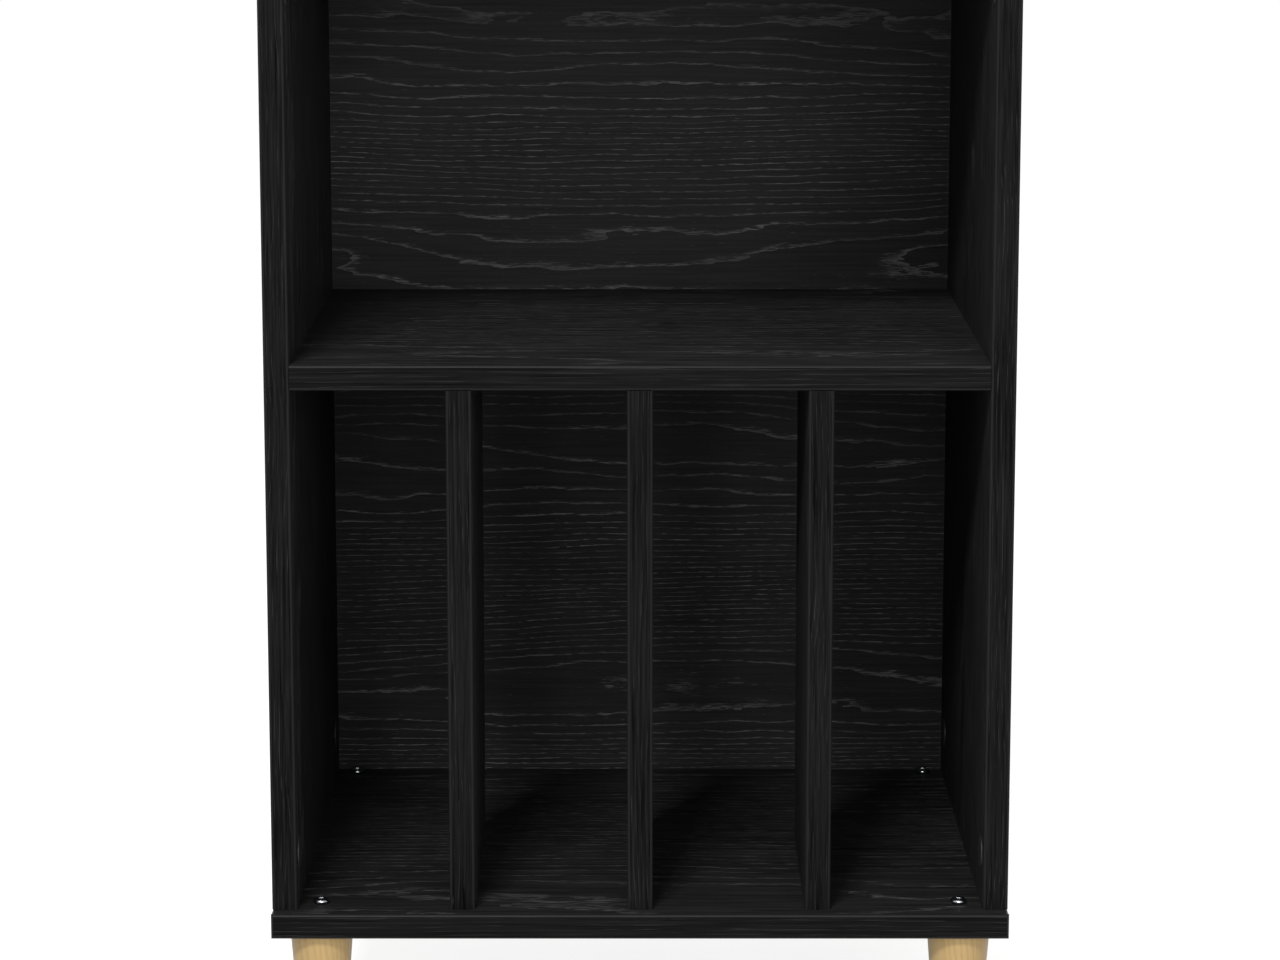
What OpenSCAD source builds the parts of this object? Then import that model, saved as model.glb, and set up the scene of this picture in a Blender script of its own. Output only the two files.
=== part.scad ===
// Flat-pack turntable stand in laminated board: a base and a top on two side panels, with a
// shelf that parts an open bay from a record bay of four slots, on four turned wooden legs.
// Millimetres. Origin: middle of the stand, on the floor. The front faces -Y, up is +Z.

/* [Carcass] */
// Width of the stand, over the side panels
body_w = 465; // [430:1:560]
// Thickness of every board
board = 16; // [16:1:19]
// Depth of a side panel, front to back
side_d = 355; // [330:1:400]
// Clear height of the record bay, from the base to the shelf
record_bay_h = 332; // [322:1:360]
// Clear height of the open bay, from the shelf to the top
open_bay_h = 262; // [200:1:320]
// How far the base and the top stand out in front of the side panels
front_lip = 11; // [4:1:20]
// How far the base and the top stand out behind the back panel
rear_lip = 11; // [6:1:20]
// Thickness of the back panel
back_t = 3; // [3:0.5:5]

/* [Dividers] */
// Depth of a divider, front to back
divider_d = 175; // [120:1:300]
// From a divider's front or rear edge to its first dowel and screw
divider_fix_inset = 32; // [24:1:50]

/* [Edge bands] */
// Thickness of the band glued to every edge that shows
band_t = 2; // [2:0.5:3]
// Radius of a band's long arrises
arris_r = 1.8; // [0.6:0.1:1.8]

/* [Legs] */
// Length of a turned leg
leg_h = 97; // [60:1:160]
// Diameter of a leg where it meets the base
leg_top_d = 40; // [34:1:50]
// Diameter of a leg at its foot
leg_foot_d = 25; // [24:1:34]
// Radius turned on a leg's foot
leg_foot_r = 1.5; // [0.5:0.5:1.5]
// From the side of the base to a leg's axis
leg_side_inset = 30; // [28:1:60]
// From the front or rear edge of the base to a leg's axis
leg_end_inset = 26; // [26:1:60]

/* [Leg fixings] */
// Thread diameter of the bolt that holds a leg
leg_bolt_d = 6; // [5:1:6]
// Length of that bolt under its head
leg_bolt_l = 30; // [28:1:40]
// Diameter of its button head
leg_bolt_head_d = 10.5; // [9:0.5:12]
// Height of its button head
leg_bolt_head_h = 3.3; // [2.5:0.1:3.6]
// Size of the hexagon socket in the head, across its flats
leg_bolt_hex = 4; // [3:0.5:4]
// Depth of that socket
leg_bolt_hex_depth = 2; // [1.5:0.1:2.2]
// Outer diameter of the threaded insert in a leg
insert_d = 12; // [11:0.5:13]
// Length of the insert
insert_l = 18; // [15:1:22]
// Size of the hexagon that drives the insert, across its flats
insert_hex = 8; // [7:0.5:8]
// Depth of that hexagon
insert_hex_depth = 4; // [3:0.5:5]

/* [Glides] */
// Diameter of the plastic glide under a leg
glide_d = 20; // [16:1:21]
// Height of a glide
glide_h = 3; // [3:0.5:6]
// Diameter of the nail that holds it
glide_nail_d = 2; // [1.5:0.1:2.5]
// Length of that nail under its head
glide_nail_l = 15; // [12:1:20]
// Diameter of the nail's head
glide_nail_head_d = 6; // [5:0.5:7]
// Thickness of the nail's head
glide_nail_head_h = 0.8; // [0.5:0.1:1]
// Depth to which the head is sunk in the glide
glide_nail_sunk = 1.5; // [1.2:0.1:1.8]

/* [Cam fittings] */
// Diameter of a cam
cam_d = 15; // [14:0.5:15]
// Thickness of a cam's floor, behind its channel
cam_floor = 1.2; // [0.8:0.1:1.6]
// Depth of a cam's face below the board's face
cam_sunk = 0.4; // [0.2:0.1:0.6]
// From the end of a board to the middle of its cams
cam_end_inset = 33; // [30:1:36]
// From a side panel's front edge to its first cam
cam_front_inset = 20; // [18:1:30]
// From a side panel's rear edge to its last cam
cam_rear_inset = 27; // [22:1:36]
// Wall of the cam outside the channel that pulls the bolt's head
cam_wall = 2.5; // [2:0.1:2.8]
// How far off the cam's axis that channel turns
cam_throw = 0.6; // [0.4:0.1:0.8]
// How far the cam has been turned to lock it, in degrees
cam_turn = 150; // [120:5:180]
// Diameter of the cap that covers a cam
cover_d = 21; // [18:0.5:22]
// Height of that cap above the board
cover_h = 0.8; // [0.6:0.1:1.5]

/* [Cam bolts] */
// Thread diameter of a cam bolt
cam_thread_d = 6; // [5:0.5:6]
// Length of that thread
cam_thread_l = 10.5; // [9:0.5:11]
// Diameter of the collar that stops the bolt at the board's face
cam_collar_d = 7.6; // [7:0.1:7.6]
// Thickness of that collar
cam_collar_h = 1.2; // [0.8:0.1:2]
// Diameter of a cam bolt's shaft
cam_shaft_d = 6; // [5:0.5:6.5]
// Diameter of its neck
cam_neck_d = 3.8; // [3:0.1:4]
// Diameter of its head
cam_head_d = 6.4; // [5.5:0.1:6.6]
// Diameter of the bore that a shaft runs through
cam_shaft_bore_d = 8; // [8:0.1:8.5]

/* [Dowels] */
// Diameter of a dowel
dowel_d = 8; // [6:1:8]
// Length of a dowel
dowel_l = 30; // [25:1:35]
// Length of a dowel that stands in the face of a board
dowel_face_l = 10; // [8:0.5:11]
// Distance from a cam bolt to the dowel beside it
dowel_pitch = 32; // [20:1:64]

/* [Screws] */
// Diameter of the screws that hold the dividers from under the base
divider_screw_d = 4; // [3.5:0.5:4.5]
// Length of those screws
divider_screw_l = 45; // [35:1:55]
// Diameter of their sunk heads
divider_screw_head_d = 8; // [7:0.5:9]
// Diameter of the screws that hold the back panel
back_screw_d = 3; // [2.5:0.1:3.5]
// Length of those screws under their heads
back_screw_l = 16; // [12:1:20]
// Diameter of their pan heads
back_screw_head_d = 6; // [5:0.5:7]
// Height of their pan heads
back_screw_head_h = 2.2; // [1.5:0.1:2.6]
// From the ends of the back panel to its first screws
back_screw_inset = 30; // [20:1:60]

/* [Fits] */
// Clearance all round a fitting in its bore
fit = 0.1; // [0.05:0.05:0.15]
// Clearance past the tip of a fitting in a blind bore
tip_gap = 0.8; // [0.4:0.1:0.9]

/* [Hidden] */
$fn = 48;
over = 1;                 // how far a cut runs past the face that it opens
slots = 4;                // record slots, with a divider between each two
back_screw_rows = 5;      // back panel screws in each side panel
shelf_back_screws = 3;    // back panel screws in the shelf
cam_room = 0.3;           // clearance of a cam's channel round the bolt's neck and head
cross_w = 0.9;            // width of one arm of a cross recess
tread = 0.5;              // chamfer on the ends of dowels and on a leg's top arris

inner_w = body_w - 2 * board;
carcass_h = record_bay_h + board + open_bay_h;
base_d = front_lip + side_d + back_t + rear_lip;
front_y = front_lip - base_d / 2;          // front of the side panels, shelf and dividers
back_y = front_y + side_d;                 // front of the back panel
base_z = glide_h + leg_h;                  // underside of the base
carcass_z = base_z + board;                // foot of the side panels
shelf_z = carcass_z + record_bay_h;        // underside of the shelf
top_z = carcass_z + carcass_h;             // underside of the top
side_x = (body_w - board) / 2;             // middle of a side panel's thickness
leg_x = body_w / 2 - leg_side_inset;
leg_y = base_d / 2 - leg_end_inset;
cam_ys = [front_y + cam_front_inset, back_y - cam_rear_inset];
dowel_ys = [cam_ys[0] + dowel_pitch, cam_ys[1] - dowel_pitch];
divider_ys = [front_y + divider_fix_inset, front_y + divider_d - divider_fix_inset];
slot_pitch = (inner_w + board) / slots;
divider_xs = [for (i = [1:slots - 1]) i * slot_pitch - (inner_w + board) / 2];

cam_channel_r = cam_d / 2 - cam_wall;      // outer radius of the channel for the bolt's head
cam_post_r = cam_channel_r - 3.3;          // radius of the post left inside the channel
cam_axis_depth = board / 2 - cam_sunk;     // from a cam's face to the axis of its bolt
cam_h = cam_axis_depth + cam_head_d / 2 + cam_floor;
cover_pin_d = 3;
cover_pin_l = 2;
cam_drive_w = 5.6;                         // span of the cross that turns a cam
cam_drive_depth = 3;
leg_taper = atan((leg_top_d - leg_foot_d) / 2 / leg_h);
side_screw_zs = [for (i = [0:back_screw_rows - 1]) carcass_z + back_screw_inset
    + i * (carcass_h - 2 * back_screw_inset) / (back_screw_rows - 1)];
shelf_screw_xs = [for (i = [1:shelf_back_screws]) i * inner_w / (shelf_back_screws + 1) - inner_w / 2];
back_screws_at = concat(
    [for (s = [-1, 1], z = side_screw_zs) [s * side_x, z]],
    [for (x = shelf_screw_xs) [x, shelf_z + board / 2]]);

FRONT = -90;
REAR = 90;
LEFT = 180;
RIGHT = 0;
BOTH = [0, 1];
LEFT_END = [0];

LAMINATE = "#302f2e";
BAND = "#2a2928";
PRINTED_BACK = "#353433";
PINE = "#cdb27c";
BEECH = "#c9a878";
ZINC = "#a9abad";
STEEL = "#bfc1c4";
BRIGHT = "#dfe1e4";
BLACK_PLASTIC = "#1c1c1c";

// Where the fittings go. At a joint, Z = 0 is the plane where two boards meet, +Z runs into the
// board that holds the cams, and +X points to the face that the cams open on.

module at_base_joint(ys, ends = BOTH)
    for (m = ends, y = ys) mirror([m, 0, 0]) translate([-side_x, y, carcass_z]) children();

module at_top_joint(ys, ends = BOTH)
    for (m = ends, y = ys) mirror([m, 0, 0]) translate([-side_x, y, top_z]) mirror([0, 0, 1]) children();

module at_shelf_joint(ys, ends = BOTH)
    for (m = ends, y = ys)
        mirror([m, 0, 0]) translate([-inner_w / 2, y, shelf_z + board / 2]) rotate([0, 90, 0]) children();

module at_divider_tops(xs)
    for (x = xs, y = divider_ys) translate([x, y, shelf_z]) mirror([0, 0, 1]) children();

module at_divider_feet(xs)
    for (x = xs, y = divider_ys) translate([x, y, base_z]) children();

module at_back_screws()
    for (p = back_screws_at) translate([p[0], back_y + back_t, p[1]]) rotate([90, 0, 0]) children();

module at_legs()
    for (x = [-leg_x, leg_x], y = [-leg_y, leg_y]) translate([x, y, 0]) children();

// From a joint to the face of its cam, whose Z then points out of the board
module at_cam()
    translate([board / 2, 0, cam_end_inset]) rotate([0, 90, 0]) children();

// Bores

// A bore from the face at Z = 0 up to the given depth
module bore(d, depth)
    translate([0, 0, -over]) cylinder(d = d, h = depth + over);

// The same, with the clearance of a fitting of diameter d
module fitted_bore(d, depth)
    bore(d + 2 * fit, depth);

module cam_bores() {
    at_cam() mirror([0, 0, 1]) fitted_bore(cam_d, cam_sunk + cam_h + tip_gap);
    bore(cam_shaft_bore_d, cam_end_inset);
}

module cam_bolt_face_bore()
    mirror([0, 0, 1]) fitted_bore(cam_thread_d, cam_thread_l + tip_gap);

module dowel_edge_bore()
    fitted_bore(dowel_d, dowel_l - dowel_face_l + tip_gap);

module dowel_face_bore()
    mirror([0, 0, 1]) fitted_bore(dowel_d, dowel_face_l + tip_gap);

module divider_screw_bore() {
    fitted_bore(divider_screw_d, divider_screw_l + tip_gap);
    screw_cone(divider_screw_head_d + 2 * fit);
}

module back_screw_bore()
    fitted_bore(back_screw_d, back_screw_l + tip_gap);

// Fittings

module cross_recess(span, depth)
    for (a = [0, 90]) rotate([0, 0, a]) cube([span, cross_w, 2 * depth], center = true);

// The sunk head of a divider screw, and the seat bored for it
module screw_cone(d)
    cylinder(d1 = d, d2 = divider_screw_d, h = (d - divider_screw_d) / 2);

module pointed_shank(d, length) {
    cylinder(d = d, h = length - d);
    translate([0, 0, length - d]) cylinder(d1 = d, d2 = d / 4, h = d);
}

module divider_screw()
    difference() {
        union() {
            screw_cone(divider_screw_head_d);
            pointed_shank(divider_screw_d, divider_screw_l);
        }
        cross_recess(divider_screw_head_d / 2, divider_screw_head_d / 5);
    }

module back_screw()
    difference() {
        union() {
            mirror([0, 0, 1]) cylinder(d1 = back_screw_head_d, d2 = back_screw_head_d * 0.75,
                h = back_screw_head_h);
            pointed_shank(back_screw_d, back_screw_l);
        }
        translate([0, 0, -back_screw_head_h]) cross_recess(back_screw_head_d / 2, back_screw_head_h / 2);
    }

// Die-cast cam. Its face is at Z = 0 and its bolt comes in along -X from +X. Each channel runs
// from the mouth that lets the bolt's head in to a little past the locked bolt
module cam() {
    head_lead = atan((cam_head_d / 2 + cam_throw + cam_room) / cam_post_r);
    neck_lead = asin((cam_neck_d / 2 + cam_throw + cam_room) / cam_channel_r);
    difference() {
        mirror([0, 0, 1]) cylinder(d = cam_d, h = cam_h);
        translate([0, -cam_throw, -cam_axis_depth]) rotate([0, 0, -cam_turn]) {
            cam_channel(cam_post_r, cam_channel_r, cam_head_d + 2 * cam_room, head_lead);
            cam_channel(cam_channel_r - fit, cam_d, cam_neck_d + 2 * cam_room, neck_lead);
            rotate([0, 90, 0]) cylinder(d = cam_head_d + 2 * cam_room, h = cam_d);
        }
        cross_recess(cam_drive_w, cam_drive_depth);
        mirror([0, 0, 1]) fitted_bore(cover_pin_d, cam_drive_depth);
    }
}

module cam_channel(r_in, r_out, width, lead)
    rotate_extrude(angle = cam_turn + lead)
        translate([r_in, -width / 2]) square([r_out - r_in, width]);

module cam_bolt() {
    head_z = cam_end_inset - cam_channel_r + 2 * fit;
    head_end = cam_end_inset - cam_post_r - 2 * fit;
    cone_h = cam_head_d - cam_neck_d;
    mirror([0, 0, 1]) cylinder(d = cam_thread_d, h = cam_thread_l);
    cylinder(d = cam_collar_d, h = cam_collar_h);
    cylinder(d = cam_shaft_d, h = cam_end_inset - cam_d / 2 - tip_gap);
    cylinder(d = cam_neck_d, h = head_end);
    translate([0, 0, head_z]) cylinder(d1 = cam_neck_d, d2 = cam_head_d, h = cone_h);
    translate([0, 0, head_z + cone_h]) cylinder(d = cam_head_d, h = head_end - head_z - cone_h);
}

module cam_cover() {
    cylinder(d = cover_d, h = cover_h / 2);
    translate([0, 0, cover_h / 2]) cylinder(d1 = cover_d, d2 = cover_d - 2 * cover_h, h = cover_h / 2);
    mirror([0, 0, 1]) cylinder(d = cover_pin_d, h = cam_sunk + cover_pin_l);
}

module dowel()
    translate([0, 0, -dowel_face_l]) {
        cylinder(d1 = dowel_d - 2 * tread, d2 = dowel_d, h = tread);
        translate([0, 0, tread]) cylinder(d = dowel_d, h = dowel_l - 2 * tread);
        translate([0, 0, dowel_l - tread]) cylinder(d1 = dowel_d, d2 = dowel_d - 2 * tread, h = tread);
    }

// Button head bolt, with the underside of its head at Z = 0
module leg_bolt() {
    head_r = leg_bolt_head_d / 2;
    dome_r = (head_r * head_r + leg_bolt_head_h * leg_bolt_head_h) / (2 * leg_bolt_head_h);
    mirror([0, 0, 1]) cylinder(d = leg_bolt_d, h = leg_bolt_l);
    difference() {
        intersection() {
            translate([0, 0, leg_bolt_head_h - dome_r]) sphere(r = dome_r);
            cylinder(d = 2 * leg_bolt_head_d, h = leg_bolt_head_h - 0.2);
        }
        translate([0, 0, leg_bolt_head_h - leg_bolt_hex_depth]) hexagon(leg_bolt_hex, leg_bolt_head_h);
    }
}

module hexagon(flats, h)
    cylinder(d = flats / cos(30), h = h, $fn = 6);

// Threaded insert, with its upper end at Z = 0
module leg_insert()
    difference() {
        mirror([0, 0, 1]) cylinder(d = insert_d, h = insert_l);
        mirror([0, 0, 1]) fitted_bore(leg_bolt_d, insert_l + over);
        translate([0, 0, -insert_hex_depth]) hexagon(insert_hex, insert_hex_depth + over);
    }

// Glide, standing on the floor
module leg_glide() {
    edge = 0.8;
    difference() {
        union() {
            cylinder(d1 = glide_d - 2 * edge, d2 = glide_d, h = edge);
            translate([0, 0, edge]) cylinder(d = glide_d, h = glide_h - edge);
        }
        fitted_bore(glide_nail_d, glide_h + over);
        fitted_bore(glide_nail_head_d, glide_nail_sunk);
    }
}

module glide_nail()
    translate([0, 0, glide_nail_sunk]) {
        cylinder(d = glide_nail_d, h = glide_nail_l);
        mirror([0, 0, 1]) cylinder(d = glide_nail_head_d, h = glide_nail_head_h);
    }

// Edge bands. A strip is glued on at X = 0, stands out along +X and runs along Z

module band_profile()
    intersection() {
        translate([0, -board / 2]) square([band_t, board]);
        union() {
            translate([0, -board / 2]) square([band_t - arris_r, board]);
            translate([0, arris_r - board / 2]) square([band_t, board - 2 * arris_r]);
            for (s = [-1, 1]) translate([band_t - arris_r, s * (board / 2 - arris_r)]) circle(r = arris_r);
        }
    }

module strip(length)
    color(BAND) linear_extrude(height = length, center = true) band_profile();

// Outline of the base and the top, with the upright arrises of their bands
module panel_outline() {
    square([body_w - 2 * arris_r, base_d], center = true);
    square([body_w, base_d - 2 * arris_r], center = true);
    for (x = [-1, 1], y = [-1, 1])
        translate([x * (body_w / 2 - arris_r), y * (base_d / 2 - arris_r)]) circle(r = arris_r);
}

// A long band of the base or the top, over the ends of the short ones
module long_band(z, facing)
    intersection() {
        translate([0, 0, z + board / 2]) rotate([90, 0, facing])
            translate([base_d / 2 - band_t, 0, 0]) strip(body_w);
        translate([0, 0, z]) linear_extrude(height = board) panel_outline();
    }

module short_band(z, facing)
    translate([0, 0, z + board / 2]) rotate([90, 0, facing])
        translate([body_w / 2 - band_t, 0, 0]) strip(base_d - 2 * band_t);

module side_band(x)
    translate([x, front_y + band_t, carcass_z + carcass_h / 2]) rotate([0, 0, FRONT]) strip(carcass_h);

module shelf_band()
    translate([0, front_y + band_t, shelf_z + board / 2]) rotate([90, 0, FRONT]) strip(inner_w);

module divider_front_band(x)
    translate([x, front_y + band_t, carcass_z + record_bay_h / 2]) rotate([0, 0, FRONT])
        strip(record_bay_h);

module divider_rear_band(x)
    translate([x, front_y + divider_d - band_t, carcass_z + record_bay_h / 2]) rotate([0, 0, REAR])
        strip(record_bay_h);

// Boards, each cut back for its bands

// The base or the top before it is bored, with its underside at height z
module wide_board(z)
    translate([band_t - body_w / 2, band_t - base_d / 2, z])
        cube([body_w - 2 * band_t, base_d - 2 * band_t, board]);

module top_panel()
    color(LAMINATE) difference() {
        wide_board(top_z);
        at_top_joint(cam_ys) cam_bolt_face_bore();
        at_top_joint(dowel_ys) dowel_face_bore();
    }

module base_panel()
    color(LAMINATE) difference() {
        wide_board(base_z);
        at_base_joint(cam_ys) cam_bolt_face_bore();
        at_base_joint(dowel_ys) dowel_face_bore();
        at_divider_feet(divider_xs) divider_screw_bore();
        at_legs() translate([0, 0, base_z]) fitted_bore(leg_bolt_d, board + over);
    }

module side_panel()
    color(LAMINATE) difference() {
        translate([-body_w / 2, front_y + band_t, carcass_z]) cube([board, side_d - band_t, carcass_h]);
        at_base_joint(cam_ys, LEFT_END) cam_bores();
        at_top_joint(cam_ys, LEFT_END) cam_bores();
        at_base_joint(dowel_ys, LEFT_END) dowel_edge_bore();
        at_top_joint(dowel_ys, LEFT_END) dowel_edge_bore();
        at_shelf_joint(cam_ys, LEFT_END) cam_bolt_face_bore();
        at_shelf_joint(dowel_ys, LEFT_END) dowel_face_bore();
        at_back_screws() back_screw_bore();
    }

module middle_shelf()
    color(LAMINATE) difference() {
        translate([-inner_w / 2, front_y + band_t, shelf_z]) cube([inner_w, side_d - band_t, board]);
        at_shelf_joint(cam_ys) cam_bores();
        at_shelf_joint(dowel_ys) dowel_edge_bore();
        at_divider_tops(divider_xs) dowel_face_bore();
        at_back_screws() back_screw_bore();
    }

module divider(x)
    color(LAMINATE) difference() {
        translate([x - board / 2, front_y + band_t, carcass_z])
            cube([board, divider_d - 2 * band_t, record_bay_h]);
        at_divider_tops([x]) dowel_edge_bore();
        at_divider_feet([x]) divider_screw_bore();
    }

module back_panel()
    color(PRINTED_BACK) difference() {
        translate([-body_w / 2, back_y, carcass_z]) cube([body_w, back_t, carcass_h]);
        at_back_screws() back_screw_bore();
    }

// Side view of half a leg: a straight taper with a radius turned on its foot
module leg_profile() {
    foot_x = leg_foot_d / 2 - leg_foot_r * (1 - sin(leg_taper)) / cos(leg_taper);
    polygon([
        [0, 0],
        [foot_x, 0],
        [foot_x + leg_foot_r * cos(leg_taper), leg_foot_r * (1 - sin(leg_taper))],
        [leg_top_d / 2 - tread * tan(leg_taper), leg_h - tread],
        [leg_top_d / 2 - tread, leg_h],
        [0, leg_h]
    ]);
    translate([foot_x, leg_foot_r]) circle(r = leg_foot_r);
}

module leg(x, y)
    color(PINE) translate([x, y, glide_h]) difference() {
        rotate_extrude() leg_profile();
        translate([0, 0, leg_h]) mirror([0, 0, 1])
            fitted_bore(insert_d, max(insert_l, leg_bolt_l - board) + tip_gap);
        fitted_bore(glide_nail_d, glide_nail_l + glide_nail_sunk - glide_h + tip_gap);
    }

module leg_inserts() color(ZINC) at_legs() translate([0, 0, base_z]) leg_insert();
module leg_bolts() color(BRIGHT) at_legs() translate([0, 0, carcass_z]) leg_bolt();
module leg_glides() color(BLACK_PLASTIC) at_legs() leg_glide();
module glide_nails() color(STEEL) at_legs() glide_nail();

module base_cams() color(ZINC) at_base_joint(cam_ys) at_cam() translate([0, 0, -cam_sunk]) cam();
module top_cams() color(ZINC) at_top_joint(cam_ys) at_cam() translate([0, 0, -cam_sunk]) cam();
module shelf_cams() color(ZINC) at_shelf_joint(cam_ys) at_cam() translate([0, 0, -cam_sunk]) cam();
module base_cam_bolts() color(STEEL) at_base_joint(cam_ys) cam_bolt();
module top_cam_bolts() color(STEEL) at_top_joint(cam_ys) cam_bolt();
module shelf_cam_bolts() color(STEEL) at_shelf_joint(cam_ys) cam_bolt();
module base_cam_covers() color(BLACK_PLASTIC) at_base_joint(cam_ys) at_cam() cam_cover();
module top_cam_covers() color(BLACK_PLASTIC) at_top_joint(cam_ys) at_cam() cam_cover();

module base_dowels() color(BEECH) at_base_joint(dowel_ys) dowel();
module top_dowels() color(BEECH) at_top_joint(dowel_ys) dowel();
module shelf_dowels() color(BEECH) at_shelf_joint(dowel_ys) dowel();
module divider_dowels() color(BEECH) at_divider_tops(divider_xs) dowel();
module divider_screws() color(STEEL) at_divider_feet(divider_xs) divider_screw();
module back_screws() color(STEEL) at_back_screws() back_screw();

top_panel();
base_panel();
side_panel();  // left_side_panel
mirror([1, 0, 0]) side_panel();  // right_side_panel
middle_shelf();
back_panel();
divider(divider_xs[0]);  // left_divider
divider(divider_xs[1]);  // centre_divider
divider(divider_xs[2]);  // right_divider
long_band(top_z, FRONT);  // top_front_band
long_band(top_z, REAR);  // top_rear_band
short_band(top_z, LEFT);  // top_left_band
short_band(top_z, RIGHT);  // top_right_band
long_band(base_z, FRONT);  // base_front_band
long_band(base_z, REAR);  // base_rear_band
short_band(base_z, LEFT);  // base_left_band
short_band(base_z, RIGHT);  // base_right_band
side_band(-side_x);  // left_side_band
side_band(side_x);  // right_side_band
shelf_band();
divider_front_band(divider_xs[0]);  // left_divider_front_band
divider_front_band(divider_xs[1]);  // centre_divider_front_band
divider_front_band(divider_xs[2]);  // right_divider_front_band
divider_rear_band(divider_xs[0]);  // left_divider_rear_band
divider_rear_band(divider_xs[1]);  // centre_divider_rear_band
divider_rear_band(divider_xs[2]);  // right_divider_rear_band
leg(-leg_x, -leg_y);  // front_left_leg
leg(leg_x, -leg_y);  // front_right_leg
leg(-leg_x, leg_y);  // rear_left_leg
leg(leg_x, leg_y);  // rear_right_leg
leg_inserts();
leg_bolts();
leg_glides();
glide_nails();
base_cams();
top_cams();
shelf_cams();
base_cam_bolts();
top_cam_bolts();
shelf_cam_bolts();
base_cam_covers();
top_cam_covers();
base_dowels();
top_dowels();
shelf_dowels();
divider_dowels();
divider_screws();
back_screws();
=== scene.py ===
"""Flat-pack turntable stand in black oak laminate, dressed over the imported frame."""
import math

import bmesh
import bpy
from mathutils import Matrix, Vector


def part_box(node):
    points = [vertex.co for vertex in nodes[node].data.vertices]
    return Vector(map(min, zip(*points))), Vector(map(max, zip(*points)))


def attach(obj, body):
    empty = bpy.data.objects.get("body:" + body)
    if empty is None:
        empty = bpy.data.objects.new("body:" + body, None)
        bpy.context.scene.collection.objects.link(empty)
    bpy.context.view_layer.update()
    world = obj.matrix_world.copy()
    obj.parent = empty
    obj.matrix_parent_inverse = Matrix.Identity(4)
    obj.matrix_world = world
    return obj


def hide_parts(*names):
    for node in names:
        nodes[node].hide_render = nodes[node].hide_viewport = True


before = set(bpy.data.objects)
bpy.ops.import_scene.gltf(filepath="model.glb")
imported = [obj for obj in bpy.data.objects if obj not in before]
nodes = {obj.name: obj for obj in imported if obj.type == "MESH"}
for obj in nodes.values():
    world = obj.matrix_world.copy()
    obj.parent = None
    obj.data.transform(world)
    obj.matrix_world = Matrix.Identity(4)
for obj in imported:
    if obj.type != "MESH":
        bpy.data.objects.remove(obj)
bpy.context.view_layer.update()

MM = 0.001
AXES = {"x": 0, "y": 1, "z": 2}
UP, DOWN = (0, 0, 1), (0, 0, -1)
FRONTWARD = (0, -1, 0)

LEGS = ("front_left_leg", "front_right_leg", "rear_left_leg", "rear_right_leg")
DIVIDERS = ("left_divider", "centre_divider", "right_divider")


# Places of the boards, worked out from the frame, and of the fittings in them, in millimetres

def corners(node):
    """A CAD node's lowest and highest corner, in millimetres."""
    return [[round(value / MM, 2) for value in corner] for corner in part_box(node)]


def middle(node):
    """The middle of a CAD node's box, in millimetres."""
    return [(low + high) / 2 for low, high in zip(*corners(node))]


CAM_END_INSET = 33
CAM_FRONT_INSET = 20
CAM_REAR_INSET = 27
DIVIDER_SCREW_INSET = 32
BACK_SCREW_INSET = 30
BACK_SCREW_GAPS = 4

BASE_Z, CARCASS_Z = [corner[2] for corner in corners("base_panel")]
TOP_Z = corners("top_panel")[0][2]
SHELF_MID_Z = middle("middle_shelf")[2]
INNER_X = corners("right_side_panel")[0][0]
SIDE_X = middle("right_side_panel")[0]
FRONT_Y = corners("left_side_band")[0][1]
BACK_Y, REAR_Y = [corner[1] for corner in corners("back_panel")]
LEG_X, LEG_Y = middle("rear_right_leg")[:2]
CAM_YS = (FRONT_Y + CAM_FRONT_INSET, BACK_Y - CAM_REAR_INSET)
CAP_ZS = (CARCASS_Z + CAM_END_INSET, TOP_Z - CAM_END_INSET)
DIVIDER_XS = [middle(divider)[0] for divider in DIVIDERS]
DIVIDER_REAR_Y = corners("left_divider_rear_band")[1][1]
DIVIDER_YS = (FRONT_Y + DIVIDER_SCREW_INSET, DIVIDER_REAR_Y - DIVIDER_SCREW_INSET)
SIDE_SCREW_GAP = (TOP_Z - CARCASS_Z - 2 * BACK_SCREW_INSET) / BACK_SCREW_GAPS
SIDE_SCREW_ZS = [CARCASS_Z + BACK_SCREW_INSET + i * SIDE_SCREW_GAP for i in range(BACK_SCREW_GAPS + 1)]
SHELF_SCREW_XS = (-INNER_X / 2, 0, INNER_X / 2)


# Shaders

def linear(code):
    """An sRGB hex colour as the linear RGBA that a shader takes."""
    channels = [int(code[i:i + 2], 16) / 255 for i in (1, 3, 5)]
    return [c / 12.92 if c <= 0.04045 else ((c + 0.055) / 1.055) ** 2.4 for c in channels] + [1.0]


def add(tree, kind, inputs=None, **settings):
    """Adds a node with its settings to a tree. inputs holds a value, a node or a socket for each input."""
    made = tree.nodes.new(kind)
    for name, value in settings.items():
        setattr(made, name, value)
    for key, value in (inputs or {}).items():
        if isinstance(value, bpy.types.Node):
            value = value.outputs[0]
        if isinstance(value, bpy.types.NodeSocket):
            tree.links.new(value, made.inputs[key])
        else:
            made.inputs[key].default_value = value
    return made


def new_tree(name, kind, sockets):
    """A node tree with these (direction, kind of value, name, default) sockets."""
    tree = bpy.data.node_groups.new(name, kind)
    for direction, value, label, default in sockets:
        socket = tree.interface.new_socket(label, in_out=direction, socket_type="NodeSocket" + value)
        if default is not None:
            socket.default_value = default
    return tree


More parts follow.
